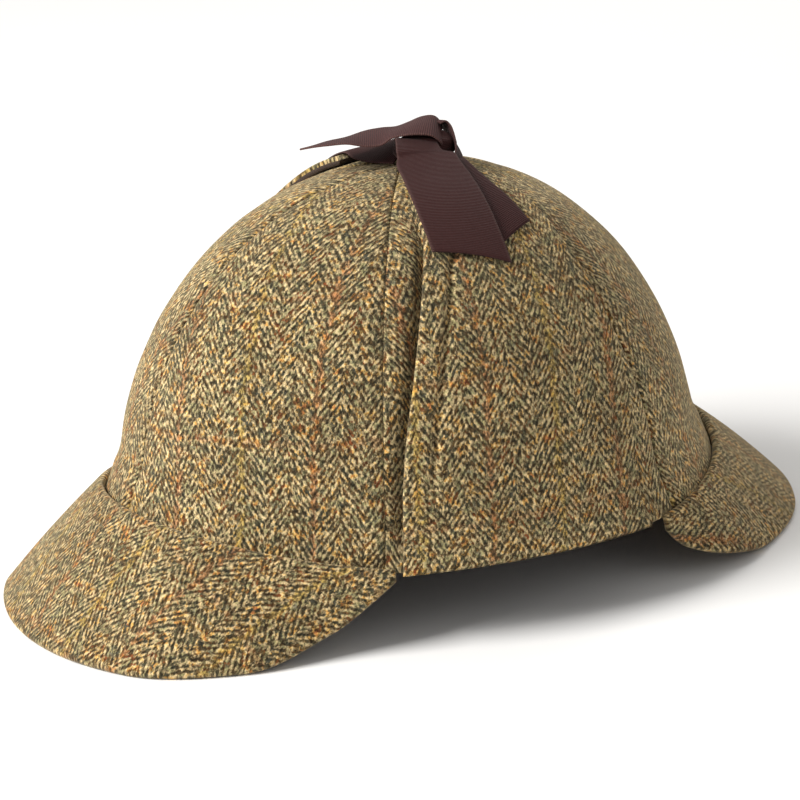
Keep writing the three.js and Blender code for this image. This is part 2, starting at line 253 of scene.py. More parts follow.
def smooth_rows(table, count):
    """Rows spaced evenly along a table. Between two rows each column follows the Catmull-Rom
    cubic through them whose slopes are half the difference of their outer neighbours."""
    place = np.linspace(0, len(table) - 1, count)
    i = np.minimum(len(table) - 2, place.astype(int))
    t = (place - i)[:, None]
    before, start = table[np.maximum(0, i - 1)], table[i]
    end, after = table[i + 1], table[np.minimum(len(table) - 1, i + 2)]
    leave, arrive = (end - before) / 2, (after - start) / 2
    return start + t * (leave + t * (3 * (end - start) - 2 * leave - arrive
                                     + t * (2 * (start - end) + leave + arrive)))


def steady_column(table, column, place):
    """One column of a table at a place along its first column. Between two rows it is the Hermite
    cubic whose slopes are the harmonic means of the neighbouring slopes, so it never overshoots."""
    x, y = table[:, 0], table[:, column]
    slope = np.diff(y) / np.diff(x)
    product, total = slope[1:] * slope[:-1], slope[1:] + slope[:-1]
    inner = np.where(product > 0, 2 * product / np.where(total == 0, 1, total), 0)
    tangent = np.concatenate([[0], inner, slope[-1:]])
    i = np.clip(np.searchsorted(x, place, side="right") - 1, 0, len(x) - 2)
    step = x[i + 1] - x[i]
    t = np.clip((place - x[i]) / step, 0, 1)
    blend = t * t * (3 - 2 * t)
    bend = t * (1 - t) ** 2 * tangent[i] + t * t * (t - 1) * tangent[i + 1]
    return y[i] + (y[i + 1] - y[i]) * blend + step * bend


def eased(count):
    """Numbers from 0 to 1 that crowd together at both ends: (1 - cos(pi t)) / 2."""
    return (1 - np.cos(np.linspace(0, np.pi, count))) / 2


def rim_height(shape, turn):
    """Ear height plus a rise that goes with the square of the turn's cosine."""
    facing = np.cos(turn)
    return shape.ear_height + np.where(facing > 0, shape.front_rise, shape.back_rise) * facing**2


def rim_plan(shape, turn, offset):
    """The egg-shaped oval: x = (half width + offset) sin(turn) (1 - egg cos(turn)) and
    y = -(half length + offset) cos(turn)."""
    x = (shape.half_width + offset) * np.sin(turn) * (1 - shape.egg_share * np.cos(turn))
    return x, -(shape.half_length + offset) * np.cos(turn)


def dome_rise(shape, climb):
    """Share of the crown's height at a climb: (1 - cos(climb)^roundness)^(1 / fullness)."""
    return np.maximum(0, 1 - np.maximum(0, np.cos(climb)) ** shape.roundness) ** (1 / shape.fullness)


def crown_surface(shape, turn, climb, offset, foot=None):
    """The crown's cloth, moved outwards by an offset. The rim's oval shrinks by waist * cos(climb),
    plus a flare near the rim, about a middle that drifts back by the apex shift. The height
    goes from the rim (or from a given foot) to the top by the dome's rise."""
    rise = dome_rise(shape, climb)
    flare = np.maximum(0, 1 - rise / shape.flare_share) ** 2
    share = shape.waist * np.cos(climb) + (1 - shape.waist) * flare
    x, y = rim_plan(shape, turn, offset)
    foot = rim_height(shape, turn) if foot is None else foot
    top = shape.ear_height + shape.dome_height + offset
    return np.stack([x * share, y * share + shape.apex_shift * (1 - share), foot + (top - foot) * rise], -1)


def crown_height(shape, x, y, offset):
    """Height of the crown's surface over a point of the plan: the share and the turn that the
    oval would need there are found by a few rounds of substitution."""
    share, turn = np.zeros_like(x), np.zeros_like(x)
    for _ in range(14):
        ahead = (y - shape.apex_shift * (1 - share)) / (shape.half_length + offset)
        aside = x / ((shape.half_width + offset) * (1 - shape.egg_share * np.cos(turn)))
        share, turn = np.hypot(ahead, aside), np.arctan2(aside, -ahead)
    rise = dome_rise(shape, np.arccos(np.clip(share / shape.waist, 0, 1)))
    foot = rim_height(shape, turn)
    return foot + (shape.ear_height + shape.dome_height + offset - foot) * rise


def wander(points, amount):
    """A soft unevenness: the sum of three crossed sines of the place, each 25 to 70 mm long."""
    x, y, z = np.moveaxis(points, -1, 0)
    long_wave = np.sin(95 * x + 60 * z + 1.3) * np.sin(88 * y - 50 * z + 0.4)
    short_wave = np.sin(170 * y + 120 * z) * np.sin(150 * x - 210 * z + 2.1)
    fine_wave = np.sin(250 * z + 190 * y + 0.9) * np.sin(230 * x + 140 * y)
    return amount * (0.55 * long_wave + 0.3 * short_wave + 0.2 * fine_wave)


def normals(grid):
    """Unit normals of a grid of points: the cross product of its differences along the columns
    and along the rows."""
    cross = np.cross(np.gradient(grid, axis=1), np.gradient(grid, axis=0))
    return cross / np.maximum(np.linalg.norm(cross, axis=-1, keepdims=True), 1e-12)


def lengths(grid, axis):
    """Length walked along one axis of a grid of points, starting from nothing."""
    walked = np.cumsum(np.linalg.norm(np.diff(grid, axis=axis), axis=-1), axis=axis)
    return np.concatenate([np.zeros_like(np.take(walked, [0], axis=axis)), walked], axis=axis)


def border_distance(grid):
    """Distance of each point of a grid from the nearest of its four borders."""
    across, along = lengths(grid, 1), lengths(grid, 0)
    sideways = np.minimum(across, across[:, -1:] - across)
    endways = np.minimum(along, along[-1:] - along)
    return np.minimum(sideways, endways)


def cut_pattern(grid, middle):
    """Cloth coordinates of a grid: across is the signed length from the middle column, and along
    is the length up the middle column."""
    across = lengths(grid, 1)
    across = across - across[:, middle : middle + 1]
    along = lengths(grid[:, middle : middle + 1], 0)
    return np.stack([across, along + 0 * across], -1)


def turned(pattern, grain):
    """Cloth coordinates turned by the grain's angle in degrees, then moved by its two shifts."""
    angle, across, along = grain
    c, s = np.cos(np.radians(angle)), np.sin(np.radians(angle))
    u, v = pattern[..., 0], pattern[..., 1]
    return np.stack([c * u - s * v + across * MM, s * u + c * v + along * MM], -1)


def quads(index):
    return np.stack([index[:-1, :-1], index[:-1, 1:], index[1:, 1:], index[1:, :-1]], -1).reshape(-1, 4)


def cloth_piece(name, middle, thickness, pattern, face, back=None, roll=None, relief=None):
    """A closed sheet of cloth round a middle surface. Each layer stands off by half the thickness
    along the normal, and comes down to the middle surface at the borders as a quarter circle
    whose radius is the roll. The two layers share their border points. Relief is added to the
    outer layer only."""
    near = np.clip(border_distance(middle) / (roll or thickness / 2), 0, 1)
    half = thickness / 2 * np.sqrt(1 - (1 - near) ** 2)
    outward = normals(middle)
    raised = half if relief is None else half + relief * near
    outer = middle + outward * raised[..., None]
    inner = middle - outward * half[..., None]
    rows, columns = near.shape
    front = np.arange(rows * columns).reshape(rows, columns)
    rear = front.copy()
    rear[1:-1, 1:-1] = rows * columns + np.arange((rows - 2) * (columns - 2)).reshape(rows - 2, -1)
    points = np.concatenate([outer.reshape(-1, 3), inner[1:-1, 1:-1].reshape(-1, 3)])
    faces = np.concatenate([quads(front), quads(rear)[:, ::-1]])
    places = np.concatenate([pattern.reshape(-1, 2), pattern[1:-1, 1:-1].reshape(-1, 2)])
    mesh = bpy.data.meshes.new(name)
    mesh.from_pydata(points.tolist(), [], faces.tolist())
    mesh.materials.append(face)
    if back is not None:
        mesh.materials.append(back)
        layer = np.repeat([0, 1], [len(quads(front)), len(quads(rear))])
        mesh.polygons.foreach_set("material_index", layer.astype(np.int32))
    finish_mesh(mesh, places)
    piece = bpy.data.objects.new(name, mesh)
    bpy.context.scene.collection.objects.link(piece)
    return piece


def finish_mesh(mesh, places):
    """Smooth faces, cloth coordinates on every corner, and faces turned outwards if the signed
    volume of the mesh, a sixth of the sum of its corners' triple products, is negative."""
    loops = np.empty(len(mesh.loops), dtype=np.int32)
    mesh.loops.foreach_get("vertex_index", loops)
    points = np.empty(len(mesh.vertices) * 3)
    mesh.vertices.foreach_get("co", points)
    a, b, c, d = points.reshape(-1, 3)[loops.reshape(-1, 4)].transpose(1, 0, 2)
    volume = (a * np.cross(b, c)).sum() + (a * np.cross(c, d)).sum()
    layer = mesh.uv_layers.new(name="cloth")
    layer.data.foreach_set("uv", places[loops].astype(np.float32).ravel())
    mesh.polygons.foreach_set("use_smooth", np.ones(len(mesh.polygons), dtype=bool))
    if volume < 0:
        mesh.flip_normals()
    mesh.update()


# ---- Materials -----------------------------------------------------------------------


def new_material(name, roughness, sheen, sheen_roughness=0.5, specular=0.3):
    material = bpy.data.materials.new(name)
    material.use_nodes = True
    shader = material.node_tree.nodes["Principled BSDF"]
    shader.inputs["Roughness"].default_value = roughness
    shader.inputs["Sheen Weight"].default_value = sheen
    shader.inputs["Sheen Roughness"].default_value = sheen_roughness
    shader.inputs["Specular IOR Level"].default_value = specular
    return material, material.node_tree, shader


def wire(tree, socket, value):
    if isinstance(value, bpy.types.NodeSocket):
        tree.links.new(value, socket)
    else:
        socket.default_value = value


def maths(tree, operation, *values):
    node = tree.nodes.new("ShaderNodeMath")
    node.operation = operation
    for socket, value in zip(node.inputs, values):
        wire(tree, socket, value)
    return node.outputs[0]


def ranged(tree, value, low, high, start=0.0, end=1.0):
    """A smooth step from start to end as the value goes from low to high."""
    node = tree.nodes.new("ShaderNodeMapRange")
    node.interpolation_type = "SMOOTHSTEP"
    sockets = ("Value", "From Min", "From Max", "To Min", "To Max")
    for name, given in zip(sockets, (value, low, high, start, end)):
        wire(tree, node.inputs[name], given)
    return node.outputs[0]


def blend(tree, share, first, second, mode="MIX"):
    node = tree.nodes.new("ShaderNodeMix")
    node.data_type = "RGBA"
    node.blend_type = mode
    wire(tree, node.inputs["Factor"], share)
    for socket, value in ((node.inputs[6], first), (node.inputs[7], second)):
        wire(tree, socket, value if isinstance(value, bpy.types.NodeSocket) else (*value, 1))
    return node.outputs[2]


def ramp(tree, value, stops):
    """Colours along a value, as (place, colour) stops."""
    node = tree.nodes.new("ShaderNodeValToRGB")
    elements = node.color_ramp.elements
    while len(elements) < len(stops):
        elements.new(0.5)
    for element, (place, shade) in zip(elements, stops):
        element.position = place
        element.color = (*shade, 1)
    wire(tree, node.inputs["Fac"], value)
    return node.outputs["Color"]


def noise(tree, place, size, detail=2.0, roughness=0.55, stretch=(1, 1, 1), turn=0.0):
    """Noise whose lumps are about the given size in metres, drawn out by the stretch."""
    mapping = tree.nodes.new("ShaderNodeMapping")
    mapping.inputs["Rotation"].default_value = (0, 0, turn)
    mapping.inputs["Scale"].default_value = tuple(1 / (size * s) for s in stretch)
    tree.links.new(place, mapping.inputs["Vector"])
    node = tree.nodes.new("ShaderNodeTexNoise")
    node.inputs["Scale"].default_value = 1
    node.inputs["Detail"].default_value = detail
    node.inputs["Roughness"].default_value = roughness
    tree.links.new(mapping.outputs[0], node.inputs["Vector"])
    return node.outputs["Fac"]


def bump(tree, height, distance, strength=1.0):
    node = tree.nodes.new("ShaderNodeBump")
    node.inputs["Strength"].default_value = strength
    node.inputs["Distance"].default_value = distance
    tree.links.new(height, node.inputs["Height"])
    return node.outputs["Normal"]


def tinted(shade, red, green, blue):
    return tuple(min(1, c * f) for c, f in zip(shade, (red, green, blue)))


def tweed(name, yarn, brightness=1.0, warmth=1.0):
    """Herringbone tweed on the piece's own cloth coordinates. A rib's phase is the place along
    the warp less the slant times the distance into its column, folded to and fro, and every
    second column is half a rib out of step. Stretched noise makes the separate floats of
    heathered yarn, and thin lines of rust and gold yarn cross the cloth."""
    material, tree, shader = new_material(name, roughness=0.95, sheen=0.45, sheen_roughness=0.5, specular=0.1)
    shader.inputs["Sheen Tint"].default_value = (0.92, 0.76, 0.50, 1)
    source = tree.nodes.new("ShaderNodeTexCoord")
    cloth, space = source.outputs["UV"], source.outputs["Object"]
    split = tree.nodes.new("ShaderNodeSeparateXYZ")
    tree.links.new(cloth, split.inputs[0])
    stray = maths(tree, "SUBTRACT", noise(tree, space, 6 * MM, 1.5), 0.5)
    across = maths(tree, "MULTIPLY_ADD", stray, 1.1 * MM, split.outputs[0])
    quiver = maths(tree, "SUBTRACT", noise(tree, space, 1.6 * MM, 1.0), 0.5)
    along = maths(tree, "MULTIPLY_ADD", quiver, 1.2 * MM, split.outputs[1])
    folded = maths(tree, "PINGPONG", across, yarn.column)
    column = maths(tree, "FLOOR", maths(tree, "DIVIDE", across, yarn.column))
    out_of_step = maths(tree, "MULTIPLY", maths(tree, "FLOORED_MODULO", column, 2.0), 0.5)
    climbed = maths(tree, "SUBTRACT", along, maths(tree, "MULTIPLY", folded, yarn.slant))
    phase = maths(tree, "ADD", maths(tree, "DIVIDE", climbed, yarn.rib), out_of_step)
    rib = maths(tree, "SINE", maths(tree, "MULTIPLY", phase, 2 * np.pi))

    floats = noise(tree, cloth, 1.3 * MM, 2.0, 0.6, (1.0, 1.6, 1.0))
    rough = maths(tree, "MULTIPLY_ADD", maths(tree, "SUBTRACT", floats, 0.5), 11.0, rib)
    worn = maths(tree, "SUBTRACT", noise(tree, space, 11 * MM, 2.0), 0.5)
    light_share = ranged(tree, maths(tree, "MULTIPLY_ADD", worn, 1.6, rough), -1.1, 1.1)

    # Heathered yarn: olive, green, plain, pale, gold and rust lengths among the light yarn, and
    # slate, green, plain, brown and red-brown ones among the dark.
    heather = noise(tree, space, 3.8 * MM, 4.0, 0.75)
    light = ramp(tree, heather, [
        (0.34, tinted(yarn.light, 0.44, 0.52, 0.60)),
        (0.42, tinted(yarn.light, 0.72, 0.82, 0.66)),
        (0.48, tuple(yarn.light)),
        (0.53, tinted(yarn.light, 1.28, 1.26, 1.20)),
        (0.59, tinted(yarn.light, 1.15, 0.92, 0.45)),
        (0.66, tinted(yarn.light, 0.95, 0.48, 0.28)),
    ])
    heather_dark = noise(tree, space, 4.6 * MM, 4.0, 0.75, turn=0.7)
    dark = ramp(tree, heather_dark, [
        (0.36, tinted(yarn.dark, 0.75, 1.15, 1.60)),
        (0.44, tinted(yarn.dark, 0.80, 1.15, 1.10)),
        (0.50, tuple(yarn.dark)),
        (0.56, tinted(yarn.dark, 1.35, 1.35, 0.90)),
        (0.64, tinted(yarn.dark, 2.40, 1.05, 0.65)),
    ])
    woven = blend(tree, light_share, dark, light)

    # The overcheck shows only where its yarn lies on top, and its lines are broken by the nap.
    scatter = noise(tree, space, 2.2 * MM, 2.0, 0.6)
    up_only = maths(tree, "MULTIPLY_ADD", light_share, 0.65, 0.2)
    for place, shift, half_width, strength, shade in (
        (across, yarn.check / 2, 1.1 * MM, 0.8, yarn.gold),
        (along, 12 * MM, 1.0 * MM, 0.35, yarn.rust),
        (across, 0.0, 1.1 * MM, 0.7, yarn.rust),
    ):
        shifted = maths(tree, "ADD", place, shift + yarn.check / 2)
        from_start = maths(tree, "FLOORED_MODULO", shifted, yarn.check)
        from_line = maths(tree, "ABSOLUTE", maths(tree, "SUBTRACT", from_start, yarn.check / 2))
        broken = maths(tree, "MULTIPLY_ADD", maths(tree, "SUBTRACT", scatter, 0.5), half_width * 7, from_line)
        line = ranged(tree, broken, half_width * 1.2, half_width * 0.3)
        share = maths(tree, "MULTIPLY", line, maths(tree, "MULTIPLY", up_only, strength))
        woven = blend(tree, share, woven, tuple(shade))

    specks = noise(tree, cloth, 1.2 * MM, 2.0, 0.7, (1.0, 1.5, 1.0), 0.5)
    speckle = ranged(tree, specks, 0.32, 0.68, 0.24, 1.80)
    patches = ranged(tree, noise(tree, space, 20 * MM, 2.0), 0.3, 0.7, 0.86 * brightness, 1.12 * brightness)
    level = maths(tree, "MULTIPLY", speckle, patches)
    grey = tree.nodes.new("ShaderNodeCombineColor")
    for socket, share in zip(grey.inputs, (warmth, 1.0, 1.0 / warmth)):
        wire(tree, socket, maths(tree, "MULTIPLY", level, share))
    tree.links.new(blend(tree, 1.0, woven, grey.outputs[0], "MULTIPLY"), shader.inputs["Base Color"])

    height = maths(tree, "MULTIPLY_ADD", floats, 0.9, maths(tree, "MULTIPLY", light_share, 0.6))
    tree.links.new(bump(tree, height, yarn.relief), shader.inputs["Normal"])
    return material


def grosgrain(name, ribbon, brightness=1.0, rib_shade=0.22):
    """Ribbed ribbon: a sine of the length paints the cross ribs lighter and darker by the rib shade,
    painted shade between the ribs on top of their bump, and the outermost millimetre of its
    width is the lighter selvedge. Across runs from minus to plus one over the width."""
    material, tree, shader = new_material(name, roughness=0.7, sheen=0.04, sheen_roughness=0.4, specular=0.12)
    source = tree.nodes.new("ShaderNodeTexCoord")
    split = tree.nodes.new("ShaderNodeSeparateXYZ")
    tree.links.new(source.outputs["UV"], split.inputs[0])
    wave = maths(tree, "SINE", maths(tree, "MULTIPLY", split.outputs[1], 2 * np.pi / ribbon.pitch))
    rib = maths(tree, "MULTIPLY_ADD", wave, 0.5, 0.5)
    threads = noise(tree, source.outputs["Object"], 0.7 * MM, 2.0, 0.6)
    plain = maths(tree, "MULTIPLY_ADD", threads, 0.6 * brightness, (0.71 - rib_shade / 2) * brightness)
    # Painted shade: the ribs' sine darkens the colour between the ribs.
    shade = maths(tree, "MULTIPLY_ADD", rib, rib_shade * brightness, plain)
    edge = ranged(tree, maths(tree, "ABSOLUTE", split.outputs[0]), 0.90, 0.97)
    base = blend(tree, maths(tree, "MULTIPLY", edge, 0.6), tuple(ribbon.body), tuple(ribbon.selvedge))
    level = tree.nodes.new("ShaderNodeCombineColor")
    for socket in level.inputs:
        wire(tree, socket, shade)
    tree.links.new(blend(tree, 1.0, base, level.outputs[0], "MULTIPLY"), shader.inputs["Base Color"])
    height = maths(tree, "MULTIPLY_ADD", threads, 0.25, rib)
    tree.links.new(bump(tree, height, 0.16 * MM), shader.inputs["Normal"])
    return material


def plain_lining(name, shade):
    """Fine plain weave in one colour: the product of two sines of the cloth coordinates, whose
    threads are 0.6 mm apart."""
    material, tree, shader = new_material(name, roughness=0.7, sheen=0.1, specular=0.3)
    source = tree.nodes.new("ShaderNodeTexCoord")
    split = tree.nodes.new("ShaderNodeSeparateXYZ")
    tree.links.new(source.outputs["UV"], split.inputs[0])
    warp, weft = (maths(tree, "SINE", maths(tree, "MULTIPLY", split.outputs[way], 2 * np.pi / (0.6 * MM)))
                  for way in (0, 1))
    weave = maths(tree, "MULTIPLY_ADD", maths(tree, "MULTIPLY", warp, weft), 0.5, 0.5)
    creased = noise(tree, source.outputs["Object"], 12 * MM, 2.0)
    share = maths(tree, "MULTIPLY_ADD", creased, 0.5, maths(tree, "MULTIPLY", weave, 0.3))
    base = blend(tree, share, tinted(shade, 0.75, 0.75, 0.75), tinted(shade, 1.4, 1.35, 1.3))
    tree.links.new(base, shader.inputs["Base Color"])
    tree.links.new(bump(tree, weave, 0.1 * MM), shader.inputs["Normal"])
    return material


def pale_floor(shade):
    """Matt pale floor with the faintest mottling."""
    material, tree, shader = new_material("pale_floor", roughness=0.9, sheen=0, specular=0.2)
    source = tree.nodes.new("ShaderNodeTexCoord")
    mottle = noise(tree, source.outputs["Object"], 0.4, 3.0)
    base = blend(tree, mottle, tinted(shade, 0.99, 0.99, 0.99), tuple(shade))
    tree.links.new(base, shader.inputs["Base Color"])
    return material


def kept_material(name, make):
    """The named material, made the first time that it is asked for."""
    return bpy.data.materials.get(name) or make()


def stand_for(piece, node):
    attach(piece, "root")
    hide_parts(node)
    return piece


# ---- The pieces ----------------------------------------------------------------------


class DEERSTALKER_OT_crown(bpy.types.Operator):
    """Six tapering tweed panels, lined, that meet in rolled seams"""

    bl_idname = "deerstalker.crown"
    bl_label = "Crown"

    def execute(self, context):
        shape, sewing = context.scene.deerstalker_shape, context.scene.deerstalker_sewing
        yarn = context.scene.deerstalker_tweed
        face = kept_material("herringbone_crown", lambda: tweed("herringbone_crown", yarn))
        lining_and_shade = kept_material("crown_lining", lambda: plain_lining("crown_lining", yarn.lining_and_shade))
        for name, first in GORES.items():
            piece = gore(name, first, shape, sewing, face, lining_and_shade)
            stand_for(piece, name)
        return {"FINISHED"}


def gore(name, first, shape, sewing, face, lining_and_shade):
    """One panel: 60 degrees of turn less half a seam gap at each side, and the climb from the hem
    to a small hole at the top. Within the seam reach it sinks by the seam dip times the square
    of its nearness to the seam. Its hem hangs lower over the first four degrees of climb, but not
    at the sides, under the flaps."""
    across = eased(101)
    climb = np.radians(88.3) * eased(74)[:, None]
    reach = shape.half_width * np.cos(climb)
    half_gap = sewing.seam_gap / 2 / reach
    turn = np.radians(first) + half_gap + (np.radians(60) - 2 * half_gap) * across
    flat = crown_surface(shape, turn, climb, 0)
    walked = lengths(flat, 1)
    from_seam = np.minimum(walked, walked[:, -1:] - walked)
    dip = sewing.seam_dip * np.clip(1 - from_seam / sewing.seam_reach, 0, 1) ** 2
    offset = wander(flat, sewing.unevenness) - dip - flap_furrow(turn, climb, sewing) - shape.cloth / 2
    middle = crown_surface(shape, turn, climb, offset)
    hem = np.clip(1 - np.degrees(climb) / 4, 0, 1)
    middle[..., 2] -= shape.hem * hem * (1 - np.sin(turn) ** 8)
    pattern = turned(cut_pattern(middle, 50), GRAIN[name])
    return cloth_piece("gore_" + name[6:], middle, shape.cloth, pattern, face, lining_and_shade, sewing.seam_roll)


def flap_furrow(turn, climb, sewing):
    """How far the tied flap presses the crown in along its front edge: the furrow's depth times a
    bell curve about a line just inside that edge. It fades out at the fold and the tip."""
    side_turn = np.degrees(np.minimum(turn, 2 * np.pi - turn))
    height = np.degrees(climb)
    line = np.interp(height, EAR_FLAP[:, 1], EAR_FLAP[:, 0]) + 0.3
    fade = np.clip((height - 1) / 5, 0, 1) * np.clip((66 - height) / 16, 0, 1)
    return sewing.flap_furrow * fade * np.exp(-(((side_turn - line) / 2.5) ** 2))


class DEERSTALKER_OT_brims(bpy.types.Operator):
    """The front and the back brim, two crescents that the hat stands on"""

    bl_idname = "deerstalker.brims"
    bl_label = "Brims"

    def execute(self, context):
        shape, yarn = context.scene.deerstalker_shape, context.scene.deerstalker_tweed
        face = kept_material("herringbone_brim", lambda: tweed("herringbone_brim", yarn, 0.95, 1.02))
        for node, table, half_turn, middle_turn in (
            ("front_brim", FRONT_BRIM, 63.4, 0),
            ("back_brim", BACK_BRIM, 66.2, 180),
        ):
            stand_for(brim("peak_" + node, table, half_turn, middle_turn, shape, face), node)
        return {"FINISHED"}


def brim(name, table, half_turn, middle_turn, shape, face):
    """A crescent. Straight lines run out from the rim, square to its plan, to the outer edge, and
    rise between the two as a parabola by the bow. Its cloth coordinates are the plan with each line
    laid out at its true length, so the warp runs from front to back."""
    along = 0.975 * (2 * eased(121) - 1)[:, None]
    share = eased(31)[None, :]
    turn = np.radians(middle_turn + along * half_turn)
    reach = steady_column(table, 1, np.abs(along)) * MM
    edge = steady_column(table, 2, np.abs(along)) * MM
    x, y = rim_plan(shape, turn, 0)
    dx, dy = np.gradient(x[:, 0])[:, None], np.gradient(y[:, 0])[:, None]
    size = np.hypot(dx, dy)
    out_x, out_y = dy / size, -dx / size
    facing = np.sign(out_x * x + out_y * y)
    out_x, out_y = out_x * facing, out_y * facing
    half = shape.brim / 2
    start, end = 0.25 * MM, np.maximum(reach - half, 0.9 * MM)
    top, low = rim_height(shape, turn) - 0.9 * MM, edge + 0.3 * half
    run = start + (end - start) * share
    bow = np.minimum(1.2 * MM, reach * 0.1)
    z = top + (low - top) * share + bow * 4 * share * (1 - share)
    middle = np.stack([x + out_x * run, y + out_y * run, z], -1)
    slope = np.hypot(end - start, top - low) / np.maximum(end - start, 1e-6)
    pattern = np.stack([x + out_x * run * slope, y + out_y * run * slope], -1)
    return cloth_piece(name, middle, shape.brim, pattern, face)


class DEERSTALKER_OT_ear_flaps(bpy.types.Operator):
    """The two ear flaps, turned up over the crown's sides"""

    bl_idname = "deerstalker.ear_flaps"
    bl_label = "Ear flaps"

    def execute(self, context):
        scene = context.scene
        shape, sewing, yarn = scene.deerstalker_shape, scene.deerstalker_sewing, scene.deerstalker_tweed
        # The flaps' tweed is a copy 5% darker and a touch warmer: painted shade for the flaps' side, which
        # faces away from the key light.
        face = kept_material("herringbone_flap", lambda: tweed("herringbone_flap", yarn, 0.95, 1.01))
        # The flaps' back layers take the dark crown lining: painted shade, the dark line under the flaps'
        # edges.
        lining_and_shade = kept_material("crown_lining", lambda: plain_lining("crown_lining", yarn.lining_and_shade))
        for node, side in (("ear_flap_left", 1), ("ear_flap_right", -1)):
            piece = ear_flap(node.replace("ear_", "tied_"), side, shape, sewing, face, lining_and_shade)
            stand_for(piece, node)
        return {"FINISHED"}


def ear_flap(name, side, shape, sewing, face, lining_and_shade):
    """A tapering flap laid over the crown. Its turn and climb go evenly from the front edge to the
    back edge of its table, it stands off by half its thickness plus each edge's lift times the cube
    of the nearness to that edge, and one furrow runs along each long edge at the stitching's
    inset, as a bell curve that fades out towards the fold."""
    rows = smooth_rows(EAR_FLAP, 181)[np.rint(eased(89) * 180).astype(int)]
    front_turn, front_climb, back_turn, back_climb, front_lift, back_lift = rows.T[..., None]
    share = eased(131)[None, :]
    turn = np.radians(front_turn + (back_turn - front_turn) * share)
    climb = np.radians(front_climb + (back_climb - front_climb) * share)
    lift = (front_lift * (1 - share) ** 3 + back_lift * share**3) * MM
    bare = crown_surface(shape, turn, climb, 0)
    offset = 0.5 * MM + lift + shape.flap / 2 + 0.5 * np.maximum(0, wander(bare, sewing.unevenness))
    middle = crown_surface(shape, turn, climb, offset, 23.8 * MM)
    from_front = lengths(middle, 1)
    from_back = from_front[:, -1:] - from_front
    fading = np.clip((climb - np.radians(9)) / np.radians(14), 0, 1)
    furrow = np.exp(-(((from_front - sewing.stitch_inset) / (1.3 * MM)) ** 2))
    faint = 0.2 * np.exp(-(((from_back - sewing.stitch_inset) / (1.5 * MM)) ** 2))
    relief = -sewing.stitch_depth * (furrow + faint) * fading
    pattern = cut_pattern(middle, 65) + np.array([100 * side + 6, 20]) * MM
    middle[..., 0] *= side
    # Painted shade: the back layer is the dark lining, which shows as a dark line along the flap's edges.
    return cloth_piece(name, middle if side > 0 else middle[:, ::-1], shape.flap,
                       pattern if side > 0 else pattern[:, ::-1], face, lining_and_shade, 1.0 * MM,
                       relief if side > 0 else relief[:, ::-1])


def strand(name, rows, shape, ribbon, face, pleats=None):
    """A strip of ribbon. Its middle runs through the rows of its table, its width lies along each
    row's bearing and roll, and its height is the crown's height plus the row's clearance. Pleats,
    if given, add a height for each share of the length and place across the width."""
    count = 120
    x, y, clear, width, bearing, roll = (column[:, None] for column in smooth_rows(rows, count).T)
    across = (2 * eased(25) - 1)[None, :]
    out = across * width / 2 * MM
    bearing, roll = np.radians(bearing), np.radians(roll)
    px = x * MM + out * np.cos(bearing) * np.cos(roll)
    py = y * MM + out * np.sin(bearing) * np.cos(roll)
    pz = crown_height(shape, px, py, clear * MM + 0 * px) + out * np.sin(roll)
    if pleats is not None:
        pz = pz + pleats(np.linspace(0, 1, count)[:, None], across)
    middle = np.stack([px, py, pz], -1)
    along = lengths(middle[:, 12:13], 0)
    pattern = np.stack([across + 0 * along, along + 0 * across], -1)
    piece = cloth_piece(name, middle, ribbon.thickness, pattern, face)
    flat = (float(rows[:, 3].max() * MM), float(along[-1, 0]))
    cloth_area = float(np.trapz(width[:, 0] * MM, along[:, 0]))
    return piece, flat, min(cloth_area, flat[0] * flat[1])


def ribbon_piece(context, key, node, pleats=None, face=None):
    scene = context.scene
    ribbon = scene.deerstalker_ribbon
    face = face or kept_material("ribbed_ribbon", lambda: grosgrain("ribbed_ribbon", ribbon))
    piece, flat, area = strand("ribbon_strip_" + key, RIBBON[key], scene.deerstalker_shape, ribbon, face,
                               pleats)
    stand_for(piece, node)
    return piece


class DEERSTALKER_OT_ribbon_leads(bpy.types.Operator):
    """The two ends that come from under the flaps' tips to the knot"""

    bl_idname = "deerstalker.ribbon_leads"
    bl_label = "Ribbon leads"

    def execute(self, context):
        ribbon_piece(context, "right_lead", "ribbon_right_lead")
        ribbon_piece(context, "left_lead", "ribbon_left_lead")
        return {"FINISHED"}


class DEERSTALKER_OT_ribbon_tails(bpy.types.Operator):
    """The two tails that hang down the near flap"""

    bl_idname = "deerstalker.ribbon_tails"
    bl_label = "Ribbon tails"

    def execute(self, context):
        ribbon_piece(context, "back_tail", "ribbon_back_tail")
        ribbon_piece(context, "front_tail", "ribbon_front_tail")
        return {"FINISHED"}


class DEERSTALKER_OT_ribbon_band(bpy.types.Operator):
    """The band over the knot and the end that points forward from it"""

    bl_idname = "deerstalker.ribbon_band"
    bl_label = "Ribbon band"

    def execute(self, context):
        def wrap(place, across):
            """The band's near half bends down round the knot: 0.4 mm times the square of the place
            across its width, strongest where it crosses the knot."""
            return -0.4 * MM * np.maximum(0, across) ** 2 * np.exp(-(((place - 0.38) / 0.2) ** 2))

        # The band's ribbon is a lit copy: 1.3 times brighter with rib shade 0.55, painted light and shade
        # where the band faces the light.
        face = grosgrain("ribbed_band", context.scene.deerstalker_ribbon, 1.3, 0.55)
        ribbon_piece(context, "band", "ribbon_band", wrap, face)
        return {"FINISHED"}


class DEERSTALKER_OT_ribbon_knot(bpy.types.Operator):
    """The gathered ribbon inside the knot"""

    bl_idname = "deerstalker.ribbon_knot"
    bl_label = "Ribbon knot"

    def execute(self, context):
        scene = context.scene
        ribbon = scene.deerstalker_ribbon
        face = kept_material("ribbed_ribbon", lambda: grosgrain("ribbed_ribbon", ribbon))
        stand_for(gather("ribbon_gather", scene.deerstalker_shape, face), "ribbon_knot")
        return {"FINISHED"}


